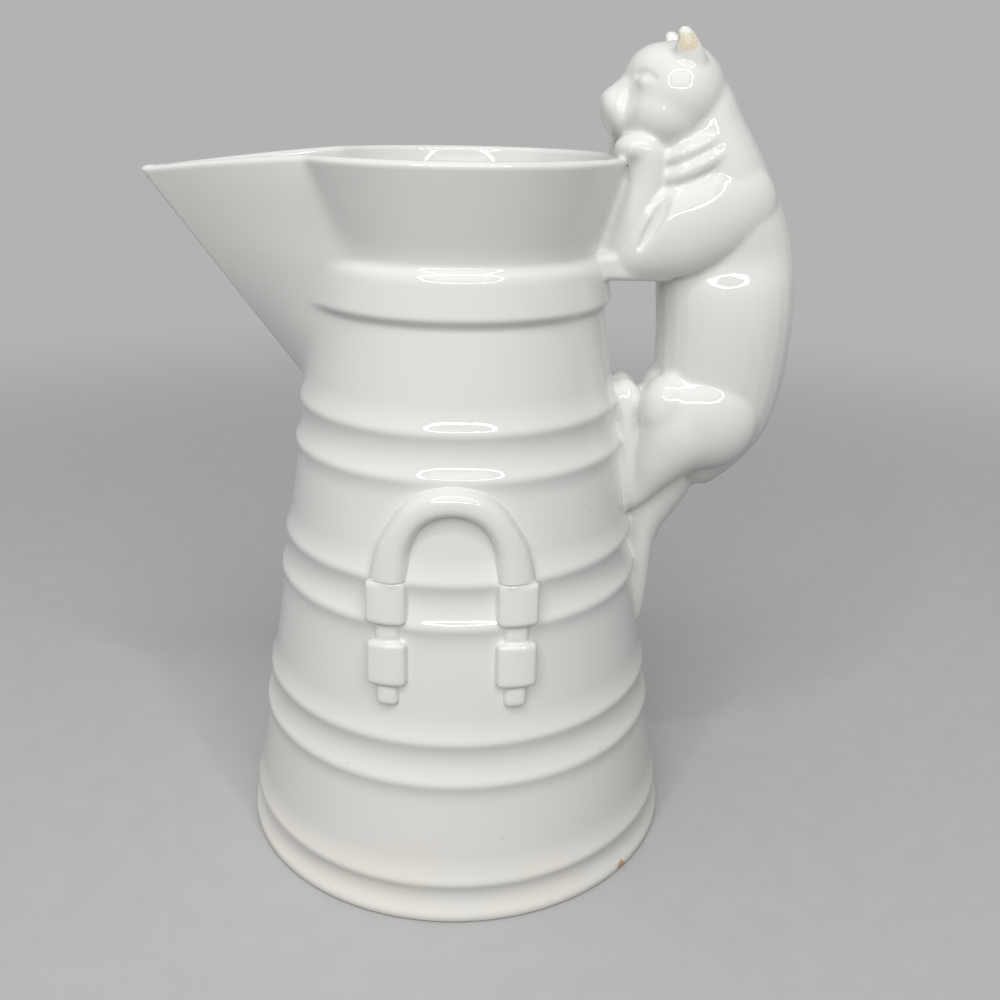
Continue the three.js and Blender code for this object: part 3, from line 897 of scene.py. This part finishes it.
def seated(s, skin):
    """Cuts away what lies inside the jug and keeps the shading of the uncut skin."""
    take(skin)
    bpy.ops.object.shade_smooth()
    uncut = copy_of(skin)
    seat = filled_jug(s, -s.seat_depth)
    cut(skin, seat, "DIFFERENCE")
    shaded_like(skin, uncut)
    drop(seat, uncut)
    return skin


def bail_stations(s):
    """The line of the grip laid flat: along the wall, proud, up, half width and half height."""
    low = [(s.arch_radius, s.sleeve_top - s.sleeve[0] / 2), (s.arch_radius, s.sleeve_top)]
    turns = [math.radians(15 * step) for step in range(13)]
    bend = [(s.arch_radius * math.cos(turn), s.arch_radius * math.sin(turn)) for turn in turns]
    arch = [(along_wall, s.spring_height + up) for along_wall, up in bend]
    line = low + arch + [(-along_wall, up) for along_wall, up in reversed(low)]
    splay_top = s.spring_height + s.arch_radius * SPLAY_START
    stations = []
    for along_wall, up in line:
        fall = max(0, min(1, (splay_top - up) / (splay_top - s.sleeve_top)))
        fall = fall**2 * (3 - 2 * fall)
        along_wall += math.copysign((s.half_span - s.arch_radius) * fall, along_wall)
        half = s.grip_half_width + (s.leg_half_width - s.grip_half_width) * fall
        stations.append((along_wall / MM, 0, up / MM, half / MM, s.grip_proud / MM))
    return stations


def bail_blocks(s):
    """Name, top, length, half width and stand of the pressed pieces on one leg of the handle."""
    top = s.sleeve_top
    blocks = []
    for name in ("sleeve", "link", "block", "tab"):
        tall, half, proud = getattr(s, name)
        blocks.append((name, top, tall, half, proud))
        top -= tall
    return blocks


def pressed_block(s, middle, top, tall, half, proud):
    """A block with rounded edges and a bowed face, laid flat."""
    place = (middle, 0, top - tall / 2)
    bpy.ops.mesh.primitive_cube_add(size=1, location=place, scale=(2 * half, 2 * proud, tall))
    bpy.ops.object.transform_apply(location=True, rotation=True, scale=True)
    piece = finish_with(bpy.context.object, "BEVEL", width=s.pressed_edge, segments=3)
    edited(piece, bpy.ops.mesh.subdivide, number_cuts=3)
    for vertex in piece.data.vertices:
        outward = (vertex.co.x - middle) / math.copysign(half, middle)
        vertex.co.y *= 1 - s.pressed_bow * outward**2 + s.pressed_tilt * outward
    return piece


def score_line(s, vessel, middle, side):
    """A thin cutter for the line between the grip and a sleeve."""
    half, proud = s.sleeve[1:]
    low = (middle - 2 * half, 0, s.sleeve_top - s.score_width / 2)
    high = (middle + 2 * half, 3 * proud, s.sleeve_top + s.score_width / 2)
    cutter = laid_on_wall(vessel, block([part / MM for part in low], [part / MM for part in high]), side)
    tall = 6 * MM
    kept_sizes = (half - s.score_depth, proud - s.score_depth)
    kept = pressed_block(s, middle, s.sleeve_top + tall / 2, tall, *kept_sizes)
    laid_on_wall(vessel, kept, side)
    cut(cutter, kept, "DIFFERENCE")
    drop(kept)
    return cutter


def laid_on_wall(s, piece, side):
    """Wraps a flat piece round one side of the barrel."""
    for vertex in piece.data.vertices:
        along_wall, proud, up = vertex.co
        radius = wall_radius(s, up)
        turn = along_wall / radius
        radius += proud
        vertex.co = (-side * radius * math.sin(turn), side * radius * math.cos(turn), up)
    return facing_out(piece)


def leg_block(s, side, end, part):
    """A block round one pressed piece on a leg of a carry handle."""
    spans = {name: (top - tall, top) for name, top, tall, half, proud in bail_blocks(s)}
    low, high = spans[part]
    if part == "tab":
        low -= s.tab[0]
    start = {"front": -LEG_REACH, "rear": 0}[end]
    return block(*beside((start, LEG_NEAR, low / MM), (start + LEG_REACH, SIDE_REACH, high / MM), side))


class PITCHER_OT_bails(PitcherStep, bpy.types.Operator):
    """Moulds the two whole carry handles on the barrel"""

    bl_idname = "pitcher.bails"
    bl_label = "Whole carry handles"

    def execute(self, context):
        s = context.scene.pitcher_bail
        vessel = context.scene.pitcher_vessel
        for name, side in SIDES.items():
            forms = [drawn_ball(bail_stations(s), bluntness=20, squareness=2.5)]
            for middle in (s.half_span, -s.half_span):
                forms += [pressed_block(s, middle, *sizes) for part, *sizes in bail_blocks(s)]
            for form in forms:
                laid_on_wall(vessel, form, side)
            core = wall_copy(*beside(*BAIL_BOX, side), BAIL_CORE_DEPTH)
            skin = melded(forms + [core], *BAIL_MELD)
            for middle in (s.half_span, -s.half_span):
                cutter = score_line(s, vessel, middle, side)
                cut(skin, cutter, "DIFFERENCE")
                drop(cutter)
            set_aside(seated(vessel, skin), f"{name}_bail")
        return {"FINISHED"}


def part_legs(s, part):
    """Parts one kind of pressed piece from both legs of both carry handles."""
    for name, side in SIDES.items():
        for end in ("front", "rear"):
            glazed(parted(f"{name}_bail", leg_block(s, side, end, part)), f"{name}_bail_{part}_{end}")


class PITCHER_OT_bail_sleeves(PitcherStep, bpy.types.Operator):
    """Parts the sleeves from the carry handles"""

    bl_idname = "pitcher.bail_sleeves"
    bl_label = "Carry handle sleeves"

    def execute(self, context):
        part_legs(context.scene.pitcher_bail, "sleeve")
        return {"FINISHED"}


class PITCHER_OT_bail_links(PitcherStep, bpy.types.Operator):
    """Parts the links from the carry handles"""

    bl_idname = "pitcher.bail_links"
    bl_label = "Carry handle links"

    def execute(self, context):
        part_legs(context.scene.pitcher_bail, "link")
        return {"FINISHED"}


class PITCHER_OT_bail_blocks(PitcherStep, bpy.types.Operator):
    """Parts the blocks from the carry handles"""

    bl_idname = "pitcher.bail_blocks"
    bl_label = "Carry handle blocks"

    def execute(self, context):
        part_legs(context.scene.pitcher_bail, "block")
        return {"FINISHED"}


class PITCHER_OT_bail_tabs(PitcherStep, bpy.types.Operator):
    """Parts the tabs from the carry handles"""

    bl_idname = "pitcher.bail_tabs"
    bl_label = "Carry handle tabs"

    def execute(self, context):
        part_legs(context.scene.pitcher_bail, "tab")
        return {"FINISHED"}


class PITCHER_OT_bail_arches(PitcherStep, bpy.types.Operator):
    """Finishes the arched grips of the carry handles"""

    bl_idname = "pitcher.bail_arches"
    bl_label = "Carry handle arches"

    def execute(self, context):
        for name in SIDES:
            glazed(remainder(f"{name}_bail"), f"{name}_bail_arch")
        return {"FINISHED"}


# Cat


def web(low, high, radius):
    """A box of clay with rounded edges, in millimetres."""
    return finish_with(block(low, high), "BEVEL", width=radius * MM, segments=4)


class PITCHER_OT_cat(PitcherStep, bpy.types.Operator):
    """Models the whole climbing cat"""

    bl_idname = "pitcher.cat"
    bl_label = "Whole cat"

    def execute(self, context):
        forms = [drawn_ball(TORSO, squareness=2.15), drawn_ball(LEG_WEB), drawn_ball(TAIL)]
        forms += [web(*sizes) for sizes in WEBS] + [lobe(*BELLY), lobe(*NOSE)]
        head = [drawn_ball(SNOUT)] + [lobe(*form) for form in (SKULL, FOREHEAD, BRIDGE, MUZZLE)]
        for side in SIDES.values():
            for stations in (SHOULDER, FORELEG, HIND_FOOT, EAR, *NECK_FOLDS):
                forms.append(drawn_ball(stations, side))
            thigh = [drawn_ball(THIGH, side), lobe(*HAUNCH, side)]
            if side == SIDES["left"]:
                thigh.append(lobe(*KNEE, side))
            forms.append(melded(thigh, *THIGH_MELD))
            head.append(lobe(*CHEEK, side))
        forms.append(melded(head, *HEAD_MELD))
        core = wall_copy(*CAT_BOX, CAT_CORE_DEPTH)
        skin = melded(forms + [core], *BODY_MELD)
        for side in SIDES.values():
            hollows = [drawn_ball(line, side) for line in (EYELID, MUZZLE_CREASE, ARM_CREASE)]
            for hollow in hollows + [lobe(*EAR_HOLLOW, side)]:
                cut(skin, hollow, "DIFFERENCE")
                drop(hollow)
        skin = melded([skin] + [lobe(*EYE, side) for side in SIDES.values()], *SKIN_MELD)
        set_aside(seated(context.scene.pitcher_vessel, skin), "cat")
        return {"FINISHED"}


def part_pair(part, stations, *lobes):
    """Parts the left and the right piece of a kind from the cat."""
    for name, side in SIDES.items():
        cutter = drawn_ball(stations, side, grow=PARTING)
        if lobes:
            grown = [lobe(middle, [size + PARTING for size in half], side) for middle, half in lobes]
            cutter = melded([cutter] + grown, *PARTING_MELD)
        own_side = block(*beside((0, 0, 0), (FAR, SIDE_REACH, ABOVE), side))
        cut(cutter, own_side, "INTERSECT")
        drop(own_side)
        glazed(parted("cat", cutter), f"cat_{part}_{name}")


class PITCHER_OT_ears(PitcherStep, bpy.types.Operator):
    """Parts the ears from the cat"""

    bl_idname = "pitcher.ears"
    bl_label = "Ears"

    def execute(self, context):
        part_pair("ear", EAR)
        return {"FINISHED"}


class PITCHER_OT_forelegs(PitcherStep, bpy.types.Operator):
    """Parts the forelegs from the cat"""

    bl_idname = "pitcher.forelegs"
    bl_label = "Forelegs"

    def execute(self, context):
        part_pair("foreleg", FORELEG)
        return {"FINISHED"}


class PITCHER_OT_head(PitcherStep, bpy.types.Operator):
    """Parts the head from the cat along the crease under the cheeks"""

    bl_idname = "pitcher.head"
    bl_label = "Head"

    def execute(self, context):
        out, up, slope = HEAD_CREASE
        reach, half_width = 90, 60
        cutter = block((out - reach, -half_width, up), (out + reach, half_width, up + reach))
        about = {"center_override": (out * MM, 0, up * MM), "orient_axis": "Y", "orient_type": "GLOBAL"}
        edited(cutter, bpy.ops.transform.rotate, value=slope, **about)
        glazed(parted("cat", cutter), "cat_head")
        return {"FINISHED"}


class PITCHER_OT_shoulders(PitcherStep, bpy.types.Operator):
    """Parts the shoulders from the cat"""

    bl_idname = "pitcher.shoulders"
    bl_label = "Shoulders"

    def execute(self, context):
        part_pair("shoulder", SHOULDER)
        return {"FINISHED"}


class PITCHER_OT_hind_feet(PitcherStep, bpy.types.Operator):
    """Parts the hind feet from the cat"""

    bl_idname = "pitcher.hind_feet"
    bl_label = "Hind feet"

    def execute(self, context):
        part_pair("hind_foot", HIND_FOOT)
        return {"FINISHED"}


class PITCHER_OT_thighs(PitcherStep, bpy.types.Operator):
    """Parts the thighs from the cat"""

    bl_idname = "pitcher.thighs"
    bl_label = "Thighs"

    def execute(self, context):
        part_pair("thigh", THIGH, HAUNCH, KNEE)
        return {"FINISHED"}


class PITCHER_OT_tail(PitcherStep, bpy.types.Operator):
    """Parts the tail from the cat"""

    bl_idname = "pitcher.tail"
    bl_label = "Tail"

    def execute(self, context):
        glazed(parted("cat", drawn_ball(TAIL, grow=PARTING)), "cat_tail")
        return {"FINISHED"}


class PITCHER_OT_torso(PitcherStep, bpy.types.Operator):
    """Finishes the cat's torso"""

    bl_idname = "pitcher.torso"
    bl_label = "Torso"

    def execute(self, context):
        glazed(remainder("cat"), "cat_torso")
        return {"FINISHED"}


# Glaze, lights and camera


def node(tree, kind, inputs, **settings):
    """Adds a shader node with its settings, values and links."""
    made = tree.nodes.new(kind)
    for name, value in settings.items():
        setattr(made, name, value)
    for socket, value in inputs.items():
        if isinstance(value, bpy.types.NodeSocket):
            tree.links.new(value, made.inputs[socket])
        else:
            made.inputs[socket].default_value = value
    return made


def noise(tree, place, scale, detail):
    return node(tree, "ShaderNodeTexNoise", {"Vector": place, "Scale": scale, "Detail": detail}).outputs[0]


def ramp(tree, value, start, end, low=1.0, high=0.0):
    """Runs smoothly from a low value at the start to a high one at the end."""
    limits = {"Value": value, "From Min": start, "From Max": end, "To Min": low, "To Max": high}
    return node(tree, "ShaderNodeMapRange", limits, interpolation_type="SMOOTHSTEP").outputs[0]


def sums(tree, operation, first, second):
    return node(tree, "ShaderNodeMath", {0: first, 1: second}, operation=operation).outputs[0]


def tinted(tree, share, below, above):
    """Mixes a second colour over a first one."""
    return node(tree, "ShaderNodeMix", {0: share, 6: below, 7: above}, data_type="RGBA").outputs[2]


def spot(tree, place, middle, reach, edge):
    """A patch round a middle, with an edge that wanders."""
    away = node(tree, "ShaderNodeVectorMath", {0: place, 1: middle}, operation="DISTANCE").outputs["Value"]
    wander = ramp(tree, noise(tree, place, 420, 2), 0.3, 0.7, -edge, edge)
    return ramp(tree, sums(tree, "ADD", away, wander), reach * 0.8, reach * 1.05)


def new_material(name):
    """A material with its nodes, its shader and the place on the object."""
    material = bpy.data.materials.new(name)
    material.use_nodes = True
    tree = material.node_tree
    place = tree.nodes.new("ShaderNodeTexCoord").outputs["Object"]
    return material, tree, tree.nodes["Principled BSDF"], place


def glaze_material(s):
    """White glaze, with a painted warm reflection near the foot, clouds, specks, wear on one ear and a
    scuff on the foot.
    """
    material, tree, shader, place = new_material("porcelain_glaze")
    height = node(tree, "ShaderNodeSeparateXYZ", {"Vector": place}).outputs["Z"]
    foot = ramp(tree, height, 0.2 * MM, 0.7 * MM)
    worn = spot(tree, place, s.worn_place, s.worn_reach, 0.9 * MM)
    pits = ramp(tree, noise(tree, place, 2200, 2), 0.36, 0.42)
    scuff = spot(tree, place, s.scuff_place, s.scuff_reach, 0.8 * MM)
    speck_map = node(tree, "ShaderNodeTexVoronoi", {"Vector": place, "Scale": 62})
    specks = ramp(tree, speck_map.outputs["Distance"], 0.012, 0.026)
    # Painted reflection: how much of the warm tint is laid on, full at the foot and gone by 75 mm up.
    foot_reflection_share = ramp(tree, height, 5 * MM, 75 * MM)
    cloud = ramp(tree, noise(tree, place, 24, 3), 0.35, 0.75, 0, 0.5)
    colour = tinted(tree, foot_reflection_share, (*s.glaze, 1), (*s.painted_foot_reflection, 1))
    colour = tinted(tree, cloud, colour, (*s.thin, 1))
    colour = tinted(tree, sums(tree, "MULTIPLY", specks, 0.5), colour, (*s.speck, 1))
    bare = tinted(tree, sums(tree, "MULTIPLY", pits, 0.7), (*s.worn, 1), (*s.speck, 1))
    colour = tinted(tree, worn, colour, bare)
    colour = tinted(tree, sums(tree, "MULTIPLY", scuff, 0.8), colour, (*s.scuff, 1))
    colour = tinted(tree, foot, colour, (*s.bare_foot, 1))
    tree.links.new(colour, shader.inputs["Base Color"])
    dull = sums(tree, "MAXIMUM", foot, sums(tree, "MAXIMUM", worn, scuff))
    gloss = ramp(tree, noise(tree, place, 60, 2), 0.3, 0.7, 0.01, 0.04)
    roughness = sums(tree, "ADD", gloss, sums(tree, "MULTIPLY", dull, 0.45))
    tree.links.new(roughness, shader.inputs["Roughness"])
    waves = {"Height": noise(tree, place, 30, 1), "Strength": 1, "Distance": s.ripple}
    ripple = node(tree, "ShaderNodeBump", waves).outputs[0]
    grain = {"Height": noise(tree, place, 480, 1), "Strength": 1, "Distance": s.peel, "Normal": ripple}
    tree.links.new(node(tree, "ShaderNodeBump", grain).outputs[0], shader.inputs["Normal"])
    return material


class PITCHER_OT_glaze(PitcherStep, bpy.types.Operator):
    """Mixes the porcelain glaze"""

    bl_idname = "pitcher.glaze"
    bl_label = "Glaze"

    def execute(self, context):
        glaze_material(context.scene.pitcher_glaze)
        return {"FINISHED"}


def soft_light(name, place, target, size, power):
    """A rectangular area light that faces a target."""
    bpy.ops.object.light_add(type="AREA", location=place)
    light = bpy.context.object
    light.name = name
    light.data.shape = "RECTANGLE"
    light.data.size, light.data.size_y = size
    light.data.energy = power
    light.rotation_euler = (Vector(target) - Vector(place)).to_track_quat("-Z", "Y").to_euler()
    return light


def ring_of_light(centre, target, half, width, strength):
    """Narrow lights set round an oval that faces a target, so that they shine as one soft ring."""
    ahead = (Vector(target) - centre).normalized()
    across = ahead.cross(Vector((0, 0, 1))).normalized()
    upward = across.cross(ahead)
    corners = []
    for step in range(RING_LIGHTS):
        turn = 2 * math.pi * (step + 0.5) / RING_LIGHTS
        side_share, up_share = rounded_square(math.cos(turn), math.sin(turn), RING_SQUARENESS)
        corners.append(centre + across * (half[0] * side_share) + upward * (half[1] * up_share))
    for step, start in enumerate(corners):
        end = corners[(step + 1) % RING_LIGHTS]
        run = end - start
        size = (run.length * RING_OVERLAP, width)
        power = strength * math.pi * size[0] * width
        light = soft_light(f"ring_{step}", (start + end) / 2, target, size, power)
        long_side = run.normalized()
        facing = -ahead
        light.rotation_euler = Matrix((long_side, facing.cross(long_side), facing)).transposed().to_euler()


def seen(tree):
    """One for rays from the camera, or off or through a shiny surface, and nothing for the others."""
    rays = tree.nodes.new("ShaderNodeLightPath").outputs
    shiny = sums(tree, "MAXIMUM", rays["Is Glossy Ray"], rays["Is Transmission Ray"])
    return sums(tree, "MAXIMUM", rays["Is Camera Ray"], shiny)


def floor_material(s):
    """A pale floor that fades into the backdrop far from the object."""
    material, tree, shader, place = new_material("floor")
    grain = ramp(tree, noise(tree, place, 90, 4), 0.3, 0.7, 0, 1)
    paper = tinted(tree, grain, (*s.floor, 1), (*[0.97 * part for part in s.floor], 1))
    paper = tinted(tree, seen(tree), (*s.floor_bounce, 1), paper)
    tree.links.new(paper, shader.inputs["Base Color"])
    shader.inputs["Roughness"].default_value = 0.9
    far = node(tree, "ShaderNodeEmission", {"Color": (*s.backdrop, 1), "Strength": 1})
    away = node(tree, "ShaderNodeVectorMath", {0: place}, operation="LENGTH").outputs["Value"]
    share = ramp(tree, away, 0.35, 0.9, 0, 1)
    blend = node(tree, "ShaderNodeMixShader", {0: share, 1: shader.outputs[0], 2: far.outputs[0]})
    tree.links.new(blend.outputs[0], tree.nodes["Material Output"].inputs["Surface"])
    return material


def studio_world(s):
    """A plain room that is lighter above, in front of an even backdrop."""
    world = bpy.data.worlds.new("studio")
    world.use_nodes = True
    tree = world.node_tree
    room = tree.nodes["Background"]
    direction = tree.nodes.new("ShaderNodeTexCoord").outputs["Generated"]
    axes = node(tree, "ShaderNodeSeparateXYZ", {"Vector": direction}).outputs
    room.inputs["Color"].default_value = (*s.surround, 1)
    from_left = ramp(tree, axes["X"], -1, 1, 2, 0.35)
    strength = sums(tree, "MULTIPLY", ramp(tree, axes["Z"], -0.1, 0.9, 0.4, 1), from_left)
    tree.links.new(strength, room.inputs["Strength"])
    backdrop = node(tree, "ShaderNodeBackground", {"Color": (*s.backdrop, 1), "Strength": 1})
    blend = node(tree, "ShaderNodeMixShader", {0: seen(tree), 1: room.outputs[0], 2: backdrop.outputs[0]})
    tree.links.new(blend.outputs[0], tree.nodes["World Output"].inputs["Surface"])
    return world


class PITCHER_OT_stage(PitcherStep, bpy.types.Operator):
    """Sets up the floor, the lights and the camera"""

    bl_idname = "pitcher.stage"
    bl_label = "Stage"

    def execute(self, context):
        scene = context.scene
        s = scene.pitcher_stage
        bpy.ops.object.select_all(action="DESELECT")
        bpy.ops.mesh.primitive_plane_add(size=12)
        floor = context.object
        floor.name = "floor"
        floor.data.materials.append(floor_material(s))
        soft_light("panel", LAMP_PLACE, LAMP_TARGET, PANEL_SIZE, PANEL_POWER)
        ring_of_light(Vector(LAMP_PLACE), LAMP_TARGET, RING_HALF, RING_WIDTH, RING_STRENGTH)
        scene.world = studio_world(s)
        scene.view_settings.view_transform = "Standard"
        heading, pitch, roll = (math.radians(turn) for turn in CAMERA_TURN)
        level = math.cos(pitch)
        ahead = Vector((math.sin(heading) * level, math.cos(heading) * level, -math.sin(pitch)))
        right = Vector((math.cos(heading), -math.sin(heading), 0))
        up = right.cross(ahead)
        rolled_right = right * math.cos(roll) + up * math.sin(roll)
        rolled_up = up * math.cos(roll) - right * math.sin(roll)
        bpy.ops.object.camera_add()
        camera = context.object
        camera.name = "camera"
        camera.data.lens = CAMERA_LENS
        camera.data.sensor_width = 36
        turn = Matrix((rolled_right, rolled_up, -ahead)).transposed().to_4x4()
        camera.matrix_world = Matrix.Translation(CAMERA_PLACE) @ turn
        camera.data.clip_start = 0.01
        scene.camera = camera
        return {"FINISHED"}


class PITCHER_PT_panel(bpy.types.Panel):
    """Lists the steps that make the pitcher"""

    bl_label = "Cat Pitcher"
    bl_idname = "PITCHER_PT_panel"
    bl_space_type = "VIEW_3D"
    bl_region_type = "UI"
    bl_category = "Pitcher"

    def draw(self, context):
        for operator in OPERATORS:
            self.layout.operator(operator.bl_idname)


OPERATORS = (
    PITCHER_OT_glaze,
    PITCHER_OT_jug,
    PITCHER_OT_bails,
    PITCHER_OT_cat,
    PITCHER_OT_bail_sleeves,
    PITCHER_OT_bail_links,
    PITCHER_OT_bail_blocks,
    PITCHER_OT_bail_tabs,
    PITCHER_OT_bail_arches,
    PITCHER_OT_ears,
    PITCHER_OT_forelegs,
    PITCHER_OT_head,
    PITCHER_OT_shoulders,
    PITCHER_OT_hind_feet,
    PITCHER_OT_thighs,
    PITCHER_OT_tail,
    PITCHER_OT_torso,
    PITCHER_OT_spout,
    PITCHER_OT_collar,
    PITCHER_OT_neck_band,
    PITCHER_OT_base_disc,
    PITCHER_OT_barrel_wall,
    PITCHER_OT_stage,
)
GROUPS = {
    "pitcher_vessel": PitcherVessel,
    "pitcher_bail": PitcherBail,
    "pitcher_glaze": PitcherGlaze,
    "pitcher_stage": PitcherStage,
}


def register():
    for name, group in GROUPS.items():
        bpy.utils.register_class(group)
        setattr(bpy.types.Scene, name, bpy.props.PointerProperty(type=group))
    for operator in OPERATORS:
        bpy.utils.register_class(operator)
    bpy.utils.register_class(PITCHER_PT_panel)


def unregister():
    bpy.utils.unregister_class(PITCHER_PT_panel)
    for operator in reversed(OPERATORS):
        bpy.utils.unregister_class(operator)
    for name, group in reversed(GROUPS.items()):
        delattr(bpy.types.Scene, name)
        bpy.utils.unregister_class(group)


def main():
    register()
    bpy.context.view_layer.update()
    bpy.ops.object.select_all(action="DESELECT")
    bpy.ops.pitcher.glaze()
    bpy.ops.pitcher.jug()
    bpy.ops.pitcher.bails()
    bpy.ops.pitcher.cat()
    bpy.ops.pitcher.bail_sleeves()
    bpy.ops.pitcher.bail_links()
    bpy.ops.pitcher.bail_blocks()
    bpy.ops.pitcher.bail_tabs()
    bpy.ops.pitcher.bail_arches()
    bpy.ops.pitcher.ears()
    bpy.ops.pitcher.forelegs()
    bpy.ops.pitcher.head()
    bpy.ops.pitcher.shoulders()
    bpy.ops.pitcher.hind_feet()
    bpy.ops.pitcher.thighs()
    bpy.ops.pitcher.tail()
    bpy.ops.pitcher.torso()
    bpy.ops.pitcher.spout()
    bpy.ops.pitcher.collar()
    bpy.ops.pitcher.neck_band()
    bpy.ops.pitcher.base_disc()
    bpy.ops.pitcher.barrel_wall()
    bpy.ops.pitcher.stage()


if __name__ == "__main__":
    main()
